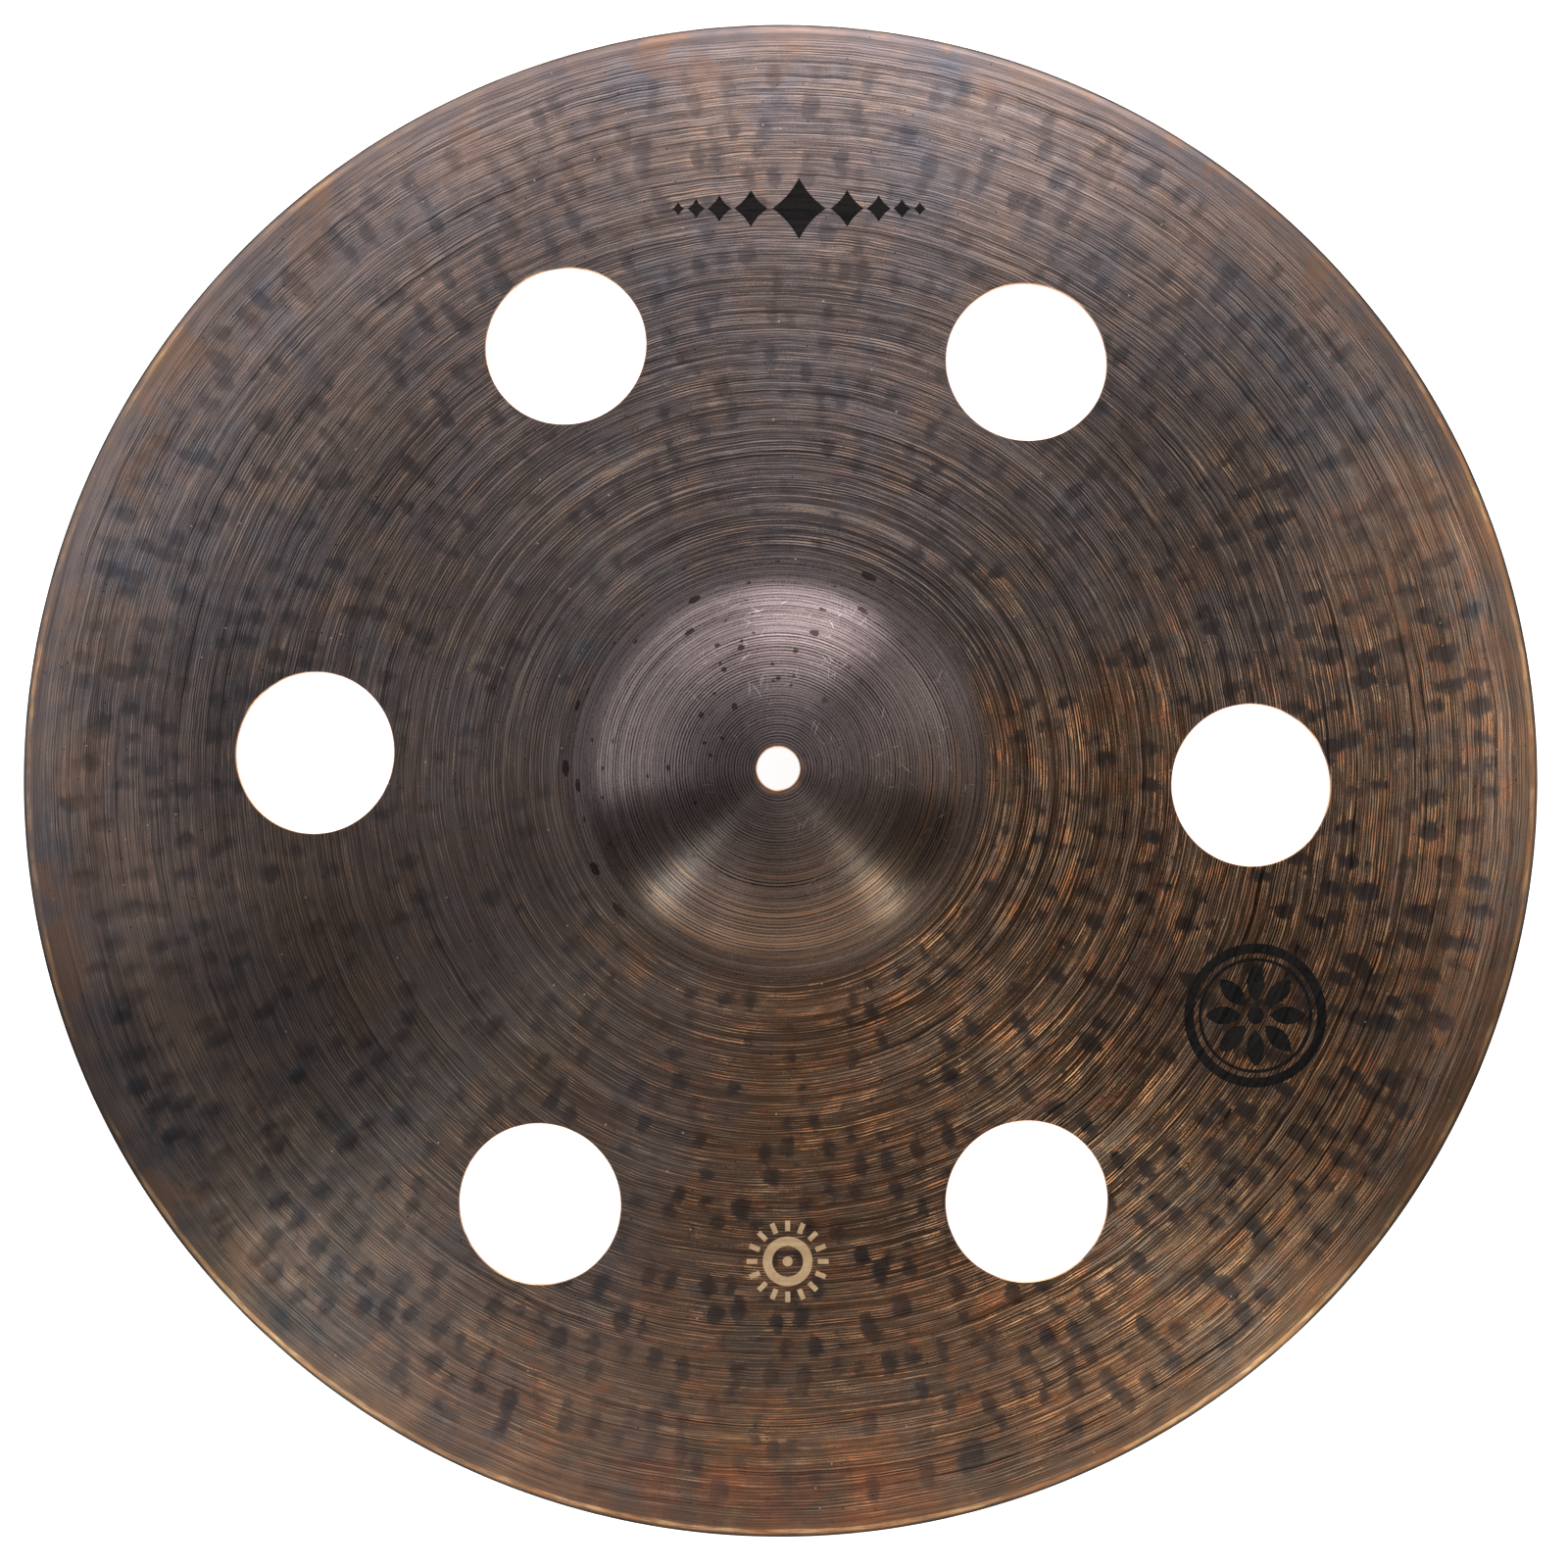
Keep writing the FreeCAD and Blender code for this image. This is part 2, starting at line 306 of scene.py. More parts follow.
def cymbal_mesh():
    """The closed mesh of the whole cymbal, in metres, with its cut faces in a second material."""
    chamfered = CENTRE_HOLE + CENTRE_CHAMFER
    top_edge = RIM_RADIUS - RIM_ROUND
    top, top_faces, top_rows, top_mark = face_mesh(TOP, TOP_SPACING, chamfered, top_edge)
    low_edge = RIM_RADIUS - RIM_LAND
    low, low_faces, low_rows, low_mark = face_mesh(UNDER, UNDER_SPACING, chamfered, low_edge)
    points = [top, low]
    marks = [top_mark, low_mark]
    low_rows = [row + len(top) for row in low_rows]
    faces = [list(map(int, f)) for f in top_faces]
    faces += [[int(a), int(c), int(b)] for a, b, c in low_faces + len(top)]
    cut = [0] * len(faces)
    total = len(top) + len(low)

    def band(rows, material, flip):
        """Quads between one closed row of points and the next."""
        for row, after in zip(rows, rows[1:]):
            for a, b, c, d in zip(row, np.roll(row, -1), np.roll(after, -1), after):
                quad = [int(a), int(b), int(c), int(d)]
                faces.append(quad[::-1] if flip else quad)
                cut.append(material)

    def add_row(row_points):
        nonlocal total
        points.append(row_points)
        marks.append(np.zeros(len(row_points)))
        total += len(row_points)
        return np.arange(total - len(row_points), total)

    def turned_row(radius, height, count):
        plan = ring_points(radius, count)
        return add_row(np.column_stack((plan, np.full(count, height))))

    # The centre hole: chamfer, wall, chamfer.
    upper = top[top_rows[0], 2].mean() - CENTRE_CHAMFER
    lower = low[low_rows[0] - len(top), 2].mean() + CENTRE_CHAMFER
    walls = [turned_row(CENTRE_HOLE, z, CENTRE_HOLE_POINTS) for z in (upper, lower)]
    band([top_rows[0], *walls, low_rows[0]], 1, False)

    # The rim: rounded above, square below with its sharpness taken off, and the filed land.
    crest = top[top_rows[1], 2].mean()
    rows = [top_rows[1]]
    for angle in (22.5, 45.0, 67.5, 90.0):
        a = math.radians(angle)
        radius = top_edge + RIM_ROUND * math.sin(a)
        rows.append(turned_row(radius, crest - RIM_ROUND * (1 - math.cos(a)), RIM_POINTS))
    rows.append(turned_row(RIM_RADIUS, LOW_EDGE_ROUND, RIM_POINTS))
    rows.append(turned_row(RIM_RADIUS - LOW_EDGE_ROUND, 0.0, RIM_POINTS))
    rows.append(low_rows[1])
    band(rows, 2, True)

    # The sound holes: each wall runs along its own axis.
    for number, centre in enumerate(HOLES, start=2):
        axis = hole_frame(centre)[1]
        rows = [top_rows[number]]
        for skin, sink in ((TOP, SOUND_CHAMFER), (UNDER, -SOUND_CHAMFER)):
            ring = skin.lift(hole_ring(centre, SOUND_HOLE, skin))
            rows.append(add_row(ring - axis * sink))
        rows.append(low_rows[number])
        band(rows, 1, False)

    mesh = bpy.data.meshes.new("cymbal_bronze")
    mesh.from_pydata([tuple(p) for p in np.vstack(points) * MM], [], faces)
    mesh.polygons.foreach_set("material_index", cut)
    mesh.polygons.foreach_set("use_smooth", [True] * len(faces))
    layer = mesh.attributes.new("hammer_mark", "FLOAT", "POINT")
    layer.data.foreach_set("value", np.concatenate(marks))
    mesh.update()
    mesh.validate()
    mesh.set_sharp_from_angle(angle=SHARP_ANGLE)
    return mesh


# ---------------------------------------------------------------- materials


class Nodes:
    """A short way to write a material's node tree."""

    def __init__(self, name):
        self.material = bpy.data.materials.new(name)
        self.material.use_nodes = True
        self.tree = self.material.node_tree
        self.tree.nodes.clear()

    def add(self, kind, inputs=None, **settings):
        node = self.tree.nodes.new(kind)
        for key, value in settings.items():
            setattr(node, key, value)
        for key, value in (inputs or {}).items():
            self.put(node.inputs[key], value)
        return node

    def put(self, socket, value):
        if isinstance(value, bpy.types.NodeSocket):
            self.tree.links.new(value, socket)
        else:
            socket.default_value = value

    def math(self, operation, a, b=0.0):
        return self.add("ShaderNodeMath", {0: a, 1: b}, operation=operation).outputs[0]

    def times(self, *values):
        result = values[0]
        for value in values[1:]:
            result = self.math("MULTIPLY", result, value)
        return result

    def plus(self, *values):
        result = values[0]
        for value in values[1:]:
            result = self.math("ADD", result, value)
        return result

    def less(self, a, b):
        return self.math("SUBTRACT", a, b)

    def swing(self, value):
        """Noise that varies round 0 instead of round a half."""
        return self.less(value, 0.5)

    def ramp(self, value, start, end, low=0.0, high=1.0):
        """A smooth ramp from low, where value is start, to high, where it is end."""
        inputs = {
            "Value": value,
            "From Min": start,
            "From Max": end,
            "To Min": low,
            "To Max": high,
        }
        node = self.add("ShaderNodeMapRange", inputs, interpolation_type="SMOOTHSTEP")
        return node.outputs["Result"]

    def band(self, value, low, high, soft):
        """1 between low and high, falling to 0 over soft on either side."""
        return self.times(self.ramp(value, low - soft, low), self.ramp(value, high + soft, high))

    def mix(self, share, a, b, blend="MIX"):
        node = self.add("ShaderNodeMix", data_type="RGBA", blend_type=blend)
        for index, value in ((0, share), (6, a), (7, b)):
            if isinstance(value, tuple) and len(value) == 3:
                value = (*value, 1.0)
            self.put(node.inputs[index], value)
        return node.outputs[2]

    def noise(self, vector, scale=1.0, detail=2.0, roughness=0.5):
        inputs = {"Vector": vector, "Scale": scale, "Detail": detail, "Roughness": roughness}
        return self.add("ShaderNodeTexNoise", inputs).outputs["Fac"]

    def join(self, x, y, z):
        return self.add("ShaderNodeCombineXYZ", {0: x, 1: y, 2: z}).outputs[0]

    def cells(self, vector, scale):
        """A flat random tiling: how far each point is from its cell's middle, and that middle."""
        inputs = {"Vector": vector, "Scale": scale, "Randomness": 1.0}
        tiling = self.add("ShaderNodeTexVoronoi", inputs, voronoi_dimensions="2D")
        return tiling.outputs["Distance"], tiling.outputs["Position"]

    def bump(self, height):
        """The shading of a relief whose height is in millimetres."""
        inputs = {"Strength": 1.0, "Distance": MM, "Height": height}
        return self.add("ShaderNodeBump", inputs).outputs[0]

    def finish(self, **inputs):
        """Ends the tree with one Principled shader."""
        shader = self.add("ShaderNodeBsdfPrincipled")
        for key, value in inputs.items():
            if isinstance(value, tuple) and len(value) == 3:
                value = (*value, 1.0)
            self.put(shader.inputs[key.replace("_", " ")], value)
        out = self.add("ShaderNodeOutputMaterial")
        self.tree.links.new(shader.outputs[0], out.inputs[0])
        return self.material


# Inside this radius, in millimetres, the differences between sides fade out.
FACING_CORE = 40.0


class Turned(Nodes):
    """A material on a turned disc: gives place, x, y, z and the radius r in millimetres."""

    def __init__(self, name):
        super().__init__(name)
        place = self.add("ShaderNodeTexCoord").outputs["Object"]
        per_metre = (1 / MM, 1 / MM, 1 / MM)
        scaled = self.add("ShaderNodeVectorMath", {0: place, 1: per_metre}, operation="MULTIPLY")
        self.place = scaled.outputs[0]
        split = self.add("ShaderNodeSeparateXYZ", {0: self.place})
        self.x, self.y, self.z = split.outputs
        flat = self.join(self.x, self.y, 0.0)
        self.r = self.add("ShaderNodeVectorMath", {0: flat}, operation="LENGTH").outputs["Value"]

    def facing(self, bearing):
        """1 toward this bearing from the axis, -1 away from it."""
        b = math.radians(bearing)
        reach = self.plus(self.times(self.x, math.cos(b)), self.times(self.y, math.sin(b)))
        return self.math("DIVIDE", reach, self.math("MAXIMUM", self.r, FACING_CORE))

    def streaks(self, r, along, pitch, detail=1.0, shift=0.0):
        """Noise drawn out along the lathe's grooves: along mm long and pitch mm wide."""
        k = 1.0 / along
        vector = self.join(
            self.plus(self.times(self.x, k), shift),
            self.times(self.y, k),
            self.times(r, 1.0 / pitch),
        )
        return self.noise(vector, detail=detail)


# Colours of the bronze and its patina, in linear red, green and blue. The broad zones of light
# and dark below are painted into the bronze's colour, partly as patina and partly as painted
# light and shade, so they stay in place under any light.
VIOLET = (0.135, 0.108, 0.104)
BROWN = (0.102, 0.069, 0.051)
RUSSET = (0.170, 0.072, 0.038)
SCORCH = (0.148, 0.066, 0.042)
SLATE = (0.053, 0.051, 0.059)
PALE = (0.42, 0.34, 0.30)
BARE = (0.92, 0.58, 0.32)
EMBER = (0.82, 0.38, 0.18)
PINHOLE = (0.018, 0.014, 0.013)
NICK = (0.62, 0.50, 0.40)
RIM_GREY = (0.205, 0.155, 0.145)
RIM_BROWN = (0.205, 0.106, 0.054)
RIM_STAIN = (0.30, 0.165, 0.095)
RIM_BLOTCH = (0.34, 0.175, 0.10)
EDGE_COPPER = (0.50, 0.24, 0.11)
EDGE_GOLD = (0.78, 0.47, 0.25)
EDGE_SHADE = (0.030, 0.027, 0.024)
BELL_BLOOM_AND_REFLECTION = (0.150, 0.118, 0.118)
BELL_BROWN = (0.138, 0.090, 0.063)
BELL_BARE_AND_HIGHLIGHT = (0.44, 0.22, 0.11)
DROP = (0.022, 0.014, 0.012)
SCRATCH = (0.66, 0.62, 0.58)
HOLE_COPPER = (0.34, 0.17, 0.10)

# Pitches of the turned grooves, in millimetres.
GROOVE_PITCH = 0.92
CLOSE_PITCH = 0.71
DEEP_PITCH = 4.3
BELL_PITCH = 0.86

# Bearings of the sides of the disc that differ, in degrees from +X.
WARM_BEARING = -50.0  # browner, with more bare lines; partly patina and partly painted warm reflection
HIGHLIGHT_CONTRAST_BEARING = -27.0  # most contrast from groove to groove, as painted highlight
SOFT_BEARING = 225.0  # least groove contrast, as less painted highlight, and the most uneven tarnish
PAINTED_LIGHT_BEARING = -4.0  # painted light, paler near the rim
REDDER_TINT_BEARING = -45.0  # redder, partly patina and partly painted warm reflection
TAN_BEARING = 212.0  # a little redder, partly patina and partly painted warm reflection
BACK_BEARING = 80.0  # painted shade round the bell, and less worn at the edge
HEAT_BEARING = 269.0  # scorched near the rim
DIM_BEARING = -8.0  # painted shade on the bell's darker side
PAINTED_SHADE_WEDGES = ((178.0, 0.26), (209.0, 0.30), (335.0, 0.30))  # painted shade in darker wedges: bearing, depth

# Radii where the bow, the bell, the rim and the lathe's work start and end, in millimetres.
BOW_START = (60.0, 65.0)
BELL_END = (65.0, 61.0)
RIM_START = (219.0, 227.5)
LATHE_END = (228.6, 218.0)
ROLL_OFF = (225.6, 228.4)
ROLL_OFF_DROP = -0.40
EDGE_LINE = (226.6, 227.4, 0.4)  # from, to and how softly it ends
OUTLINE_START = (227.8, 228.3)

# Noise on the disc: scale per millimetre, detail and, where it isn't 0.5, roughness.
CLOUD = (0.016, 3.0)
PATCH = (0.055, 3.0)
GRAIN = (2.6, 1.0)
WEAR = (0.045, 5.0, 0.62)
SLOW_WANDER = (0.020, 1.0)
QUICK_WANDER = (0.085, 1.0)
EDGE_WANDER = (0.06, 3.0)
FRAY = (0.34, 2.0)
SCORCHING = (0.07, 4.0, 0.6)
TARNISH = (0.034, 3.0, 0.6)
MOTTLE = (0.13, 2.0)

# Noise drawn out along the grooves: length and width in millimetres, detail and shift. The
# shift keeps one kind apart from the next.
DRIFT = (300.0, 7.0, 1.0, 220.0)
LOUDER = (30.0, 2.6, 1.0, 200.0)
CIRCLES = (420.0, 0.33, 1.0, 0.0)
PAIRS = (160.0, 0.95, 1.0, 30.0)
FINE = (60.0, 0.24, 0.0, 90.0)
SHORT = (9.0, 0.30, 2.0, 60.0)
BEAT = (200.0, 16.0, 1.0, 400.0)
DEEP_SHARE = (45.0, 6.0, 1.0, 140.0)
COARSE = (60.0, 5.5, 2.0, 170.0)
RUST = (9.0, 5.0, 3.0, 250.0)
TORN = (5.0, 0.7, 1.0, 380.0)
GROUPS = (8.0, 4.2, 2.0, 310.0)
GLOW = (14.0, 7.0, 1.0, 450.0)
BREAKS = (7.0, 0.5, 2.0, 520.0)
BELL_TURNING = (110.0, 0.26, 1.0, 15.0)
BELL_RINGS = (900.0, 1.3, 2.0, 60.0)
BELL_RIPPLE = (260.0, 5.0, 1.0, 280.0)
BELL_CRISP = (120.0, 4.0, 1.0, 500.0)
BELL_FLICK = (5.0, 0.33, 1.0, 70.0)
BELL_BARE_STREAKS = (90.0, 0.38, 1.0, 330.0)

# Specks, drops and scratches: how the tiling is scaled, and how its cells draw their lots.
SPECK_LOT = 2.3
DROP_LOT = 1.9
DROP_SCALE = 0.23
DROP_RADIUS = 26.0  # the radius at which a turn's length is right, in millimetres
SCRATCH_SLANTS = ((0.4, 0.0), (1.35, 30.0), (2.3, 55.0))  # slant in radians, shift


class Bronze(Turned):
    """The cymbal's bronze. Each step below lays more of its colour over the last."""

    def __init__(self, name):
        super().__init__(name)
        self.base = None
        self.mark = self.add("ShaderNodeAttribute", attribute_name="hammer_mark").outputs["Fac"]
        self.on_bow = self.ramp(self.r, *BOW_START)
        self.on_bell = self.ramp(self.r, *BELL_END)
        self.on_rim = self.ramp(self.r, *RIM_START)
        self.lathed = self.times(self.on_bow, self.ramp(self.r, *LATHE_END, 0.40, 1.0))
        self.patch = self.noise(self.place, *PATCH)
        self.wear = self.noise(self.place, *WEAR)
        self.grain = self.swing(self.noise(self.place, *GRAIN))
        cloud = self.times(self.swing(self.noise(self.place, *CLOUD)), 1.6)
        # The warm side: browner, partly patina and partly painted warm reflection of the lights.
        self.warm = self.ramp(self.plus(self.facing(WARM_BEARING), cloud), -0.45, 0.90)
        # Painted highlight: the grooves' contrast is raised on the side at -27 degrees and
        # lowered on the side at 225 degrees.
        self.highlight_contrast = self.plus(
            self.ramp(self.facing(HIGHLIGHT_CONTRAST_BEARING), 0.60, 1.0, 0.86, 1.42),
            self.ramp(self.facing(SOFT_BEARING), 0.25, 0.90, 0.0, -0.34),
        )
        self.steel = self.times(
            self.ramp(self.facing(SOFT_BEARING), 0.86, 0.99), self.ramp(self.r, 150.0, 185.0)
        )

    def coat(self, share, colour):
        """Lays a colour over what is there."""
        self.base = self.mix(share, self.base, colour)

    def stain(self, red, green, blue):
        """Multiplies what is there."""
        self.base = self.mix(1.0, self.base, self.join(red, green, blue), "MULTIPLY")

    def grooves(self, track, pitch, wobble):
        """Evenly pitched grooves, -1 to 1, pushed along by a wobble."""
        return self.math("SINE", self.plus(self.times(track, 2 * math.pi / pitch), wobble))

    def run_lathe(self):
        """Where the lathe's tool ran: each groove wanders a little where the sheet is beaten."""
        wander = self.plus(
            self.times(self.swing(self.noise(self.place, *SLOW_WANDER)), 2.2),
            self.times(self.swing(self.noise(self.place, *QUICK_WANDER)), 0.65),
            self.times(self.mark, 0.25),
        )
        track = self.plus(self.r, self.times(wander, self.ramp(self.r, 68.0, 120.0)))
        drift = self.times(self.streaks(self.r, *DRIFT), 9.0)
        louder = self.ramp(self.streaks(track, *LOUDER), 0.35, 0.65, 0.35, 1.25)
        near_bell = self.ramp(self.r, 105.0, 70.0, 0.22, 0.80)
        self.lines = self.plus(
            0.5,
            self.times(self.grooves(track, GROOVE_PITCH, drift), louder, 0.15),
            self.times(self.grooves(track, CLOSE_PITCH, self.times(drift, -1.3)), louder, 0.13),
            self.times(self.swing(self.streaks(track, *CIRCLES)), 0.62),
            self.times(self.swing(self.streaks(track, *FINE)), 0.90),
            self.times(self.swing(self.streaks(track, *PAIRS)), near_bell),
            self.times(self.swing(self.streaks(track, *SHORT)), 0.95),
            self.times(self.grain, 0.45),
        )
        beat = self.times(self.streaks(self.r, *BEAT), 12.0)
        self.deep = self.times(
            self.ramp(self.grooves(track, DEEP_PITCH, beat), 0.80, 0.98),
            self.ramp(self.streaks(track, *DEEP_SHARE), 0.38, 0.62, 0.10, 1.0),
            self.ramp(self.r, 75.0, 125.0, 0.45, 1.0),
        )
        self.coarse = self.streaks(track, *COARSE)
        self.track = track

    def hammer(self):
        """The hammer marks, darkened partly as patina and partly as painted shade, with frayed
        edges.
        """
        frayed = self.plus(
            self.mark,
            self.times(self.swing(self.noise(self.place, *FRAY)), 0.75),
            self.times(self.swing(self.streaks(self.track, *TORN)), 0.55),
        )
        faint = self.times(
            self.ramp(self.facing(HEAT_BEARING), 0.93, 0.99),
            self.ramp(self.r, 165.0, 195.0, 0.0, 0.42),
        )
        by_side = self.ramp(self.warm, 0.35, 0.95, 0.58, 1.0)
        self.beaten = self.times(
            self.ramp(frayed, 0.08, 0.66),
            self.ramp(self.mark, 0.0, 0.12),
            self.ramp(self.patch, 0.36, 0.62, 0.74, 1.0),
            self.plus(by_side, self.times(self.steel, 0.15)),
            self.less(1.0, faint),
        )

    def lay_patina(self):
        """Violet grey to brown, rusty along the grooves, dark slate in the hammer marks. The
        violet to brown split is partly patina and partly painted reflection; the dark slate is
        partly patina and partly painted shade.
        """
        self.base = self.mix(self.warm, VIOLET, BROWN)
        rusty = self.times(
            self.ramp(self.streaks(self.track, *RUST), 0.48, 0.66),
            self.ramp(self.warm, 0.1, 1.0, 0.05, 0.58),
            self.ramp(self.lines, 0.35, 0.65, 0.3, 1.0),
        )
        self.coat(rusty, RUSSET)
        scorched = self.times(
            self.ramp(self.facing(HEAT_BEARING), 0.962, 0.990),
            self.ramp(self.r, 203.0, 210.0),
            self.ramp(self.noise(self.place, *SCORCHING), 0.36, 0.56, 0.0, 0.80),
        )
        self.coat(scorched, SCORCH)
        # Dark slate in the hammer marks: partly patina, partly painted shade.
        self.coat(self.times(self.beaten, 0.74), SLATE)

    def shade_grooves(self):
        """Dark in the grooves and pale between them, with broad differences over the disc:
        painted light paler towards the rim and on one side, and painted shade in darker wedges,
        round the bell at the back and in the hammer marks.
        """
        even = self.less(1.0, self.times(self.beaten, 0.55))
        swung = self.times(self.less(self.lines, 0.5), 1.9, even, self.highlight_contrast)
        groove = self.math("MAXIMUM", self.plus(swung, 0.98), 0.38)
        cut_deep = self.less(1.0, self.times(self.deep, self.highlight_contrast, 0.48))
        swell = self.ramp(self.coarse, 0.30, 0.70, 0.86, 1.12)
        turned = self.less(self.times(groove, cut_deep, swell), 1.0)
        # Painted light: the outer bow is paler on this side.
        painted_light = self.times(
            self.ramp(self.facing(PAINTED_LIGHT_BEARING), 0.80, 1.0),
            self.ramp(self.r, 198.0, 220.0, 0.23, 0.78),
        )
        # Painted shade in darker wedges.
        painted_shade_wedges = self.plus(
            *(self.ramp(self.facing(b), 0.962, 0.998, 0.0, depth) for b, depth in PAINTED_SHADE_WEDGES)
        )
        # Painted shade on the bow round the bell, on the back side.
        inner = self.times(
            self.ramp(self.facing(BACK_BEARING), 0.70, 0.95, 0.0, 0.22),
            self.ramp(self.r, 125.0, 85.0),
        )
        whole = self.times(
            self.plus(1.0, self.times(turned, self.lathed)),
            # Painted light: the bow grows paler towards the rim.
            self.ramp(self.r, 140.0, 224.0, 0.904, 1.8306),
            self.plus(1.0, painted_light),
            # Painted shade: the hammer marks darker again, more on the warm side.
            self.less(1.0, self.times(self.beaten, self.ramp(self.warm, 0.0, 1.0, 0.24, 0.34))),
            self.less(1.0, self.times(painted_shade_wedges, self.ramp(self.r, 125.0, 175.0))),
            self.less(1.0, inner),
        )
        self.stain(whole, whole, whole)

    def rub_crests(self):
        """Pale and bare lines along the rubbed crests, missing inside the hammer marks: worn
        metal, made stronger on the warm, high-contrast side as painted highlight.
        """
        # The crests' lines are worn metal; their extra strength towards -27 and -50 degrees is
        # painted highlight.
        open_crest = self.times(
            self.ramp(self.lines, 0.60, 0.82),
            self.ramp(self.beaten, 0.60, 0.10),
            self.lathed,
            self.highlight_contrast,
        )
        self.coat(self.times(open_crest, 0.34), PALE)
        bare = self.times(
            open_crest,
            self.ramp(self.streaks(self.track, *GROUPS), 0.45, 0.60, 0.06, 1.0),
            self.ramp(self.warm, 0.0, 0.9, 0.30, 1.0),
            self.ramp(self.patch, 0.40, 0.60, 0.30, 1.0),
            0.85,
        )
        glow = self.ramp(self.streaks(self.track, *GLOW), 0.42, 0.60)
        self.coat(bare, self.mix(glow, BARE, EMBER))

    def tarnish(self):
        """Patches that lean to blue grey or to rust, strongest towards the rim."""
        lean = self.times(
            self.plus(
                self.times(
                    self.swing(self.noise(self.place, *TARNISH)),
                    self.ramp(self.r, 90.0, 215.0, 0.7, 1.5),
                ),
                self.times(self.swing(self.noise(self.place, *MOTTLE)), 0.55),
            ),
            self.on_bow,
        )
        uneven = self.plus(
            self.ramp(self.r, 130.0, 180.0, 0.0, 0.50), self.times(self.steel, 0.70)
        )
        lift = self.plus(1.0, self.times(lean, uneven))
        red = self.plus(lift, self.times(lean, 0.40))
        blue = self.plus(lift, self.times(lean, -0.45))
        self.stain(red, lift, blue)
        # A redder side: partly patina and partly painted warm reflection of the lights.
        redder_tint_and_reflection = self.times(
            self.plus(
                self.ramp(self.facing(REDDER_TINT_BEARING), 0.15, 0.75),
                self.ramp(self.facing(TAN_BEARING), 0.80, 0.98, 0.0, 0.45),
            ),
            self.on_bow,
            self.ramp(self.r, 205.0, 222.0, 1.0, 0.45),
        )
        redder = self.plus(1.0, self.times(redder_tint_and_reflection, 0.12))
        less_blue = self.less(1.0, self.times(redder_tint_and_reflection, 0.13))
        self.stain(redder, 1.0, less_blue)

    def speckle(self):
        """Pinholes in the patina and bright nicks."""
        self.coat(self.times(specks(self, 0.21, 0.075, 0.66), 0.75), PINHOLE)
        self.coat(self.times(specks(self, 0.12, 0.045, 0.70), 0.60), NICK)

    def wear_rim(self):
        """The rim: smoother, browner, stained in blotches, with a worn line at its very edge."""
        warm = self.ramp(self.warm, 0.10, 0.60)
        tint = self.mix(warm, RIM_GREY, RIM_BROWN)
        tint = self.mix(self.ramp(self.wear, 0.50, 0.62, 0.0, 0.65), tint, RIM_STAIN)
        self.coat(self.times(self.on_rim, 0.34), tint)
        blotch = self.times(
            self.ramp(self.r, 196.0, 224.0), self.ramp(self.wear, 0.53, 0.60, 0.0, 0.34)
        )
        self.coat(blotch, RIM_BLOTCH)

        wander = self.times(self.swing(self.noise(self.place, *EDGE_WANDER)), 1.4)
        worn = self.plus(self.times(self.wear, 0.9), self.times(warm, 0.6))
        line = self.times(
            self.band(self.plus(self.r, wander), *EDGE_LINE),
            self.ramp(worn, 0.33, 0.68, 0.15, 1.0),
            self.ramp(self.streaks(self.r, *BREAKS), 0.36, 0.60, 0.35, 1.0),
            self.ramp(self.facing(BACK_BEARING), 0.55, 0.90, 0.95, 0.22),
        )
        self.coat(line, self.mix(self.ramp(self.wear, 0.42, 0.60), EDGE_COPPER, EDGE_GOLD))
        self.coat(self.ramp(self.r, *OUTLINE_START, 0.0, 0.80), EDGE_SHADE)

    def turn_bell(self):
        """The bell: fine turning lines, a violet bloom that is partly painted reflection, bright
        lines that are partly painted highlight, dark drops and pale scratches, with painted shade
        near the hole, on the flare, on the front of the shoulder and on its darker side.
        """
        self.turning = self.swing(self.streaks(self.r, *BELL_TURNING))
        self.rings = self.swing(self.streaks(self.r, *BELL_RINGS))
        ripple = self.times(self.streaks(self.r, *BELL_RIPPLE), 8.0)
        self.cuts = self.times(
            self.grooves(self.r, BELL_PITCH, ripple),
            self.ramp(self.streaks(self.r, *BELL_CRISP), 0.36, 0.62, 0.24, 0.66),
            self.ramp(self.r, 56.0, 52.0, 0.45, 1.0),
        )
        lines = self.plus(
            self.times(self.turning, 2.2),
            self.times(self.rings, 0.9),
            self.cuts,
            self.times(self.grain, 1.3),
            self.times(self.swing(self.streaks(self.r, *BELL_FLICK)), 0.9),
        )
        front = self.plus(self.times(self.y, -0.02), self.times(self.x, 0.006))
        front = self.ramp(front, -0.3, 1.0)
        # Painted shade on the bell: its darker side, near the hole, on the flare and on the front
        # of the shoulder.
        dim = self.times(self.ramp(self.facing(DIM_BEARING), 0.84, 0.99, 0.0, 0.25), self.on_bell)
        tone = self.times(
            self.plus(1.0, self.times(lines, self.on_bell)),
            self.ramp(self.r, 14.0, 40.0, 0.70, 1.0),
            self.ramp(self.r, 52.0, 60.0, 1.0, 0.92),
            self.less(1.0, self.times(front, self.ramp(self.r, 55.0, 49.0, 0.0, 0.20))),
            self.less(1.0, dim),
        )
        # Violet on the bell's back and brown on its front: partly patina, partly painted
        # reflection of the lights.
        bloom_and_reflection = self.mix(self.times(front, 0.8), BELL_BLOOM_AND_REFLECTION, BELL_BROWN)
        self.coat(self.ramp(self.r, 64.0, 58.0, 0.0, 0.90), bloom_and_reflection)
        self.stain(tone, tone, tone)
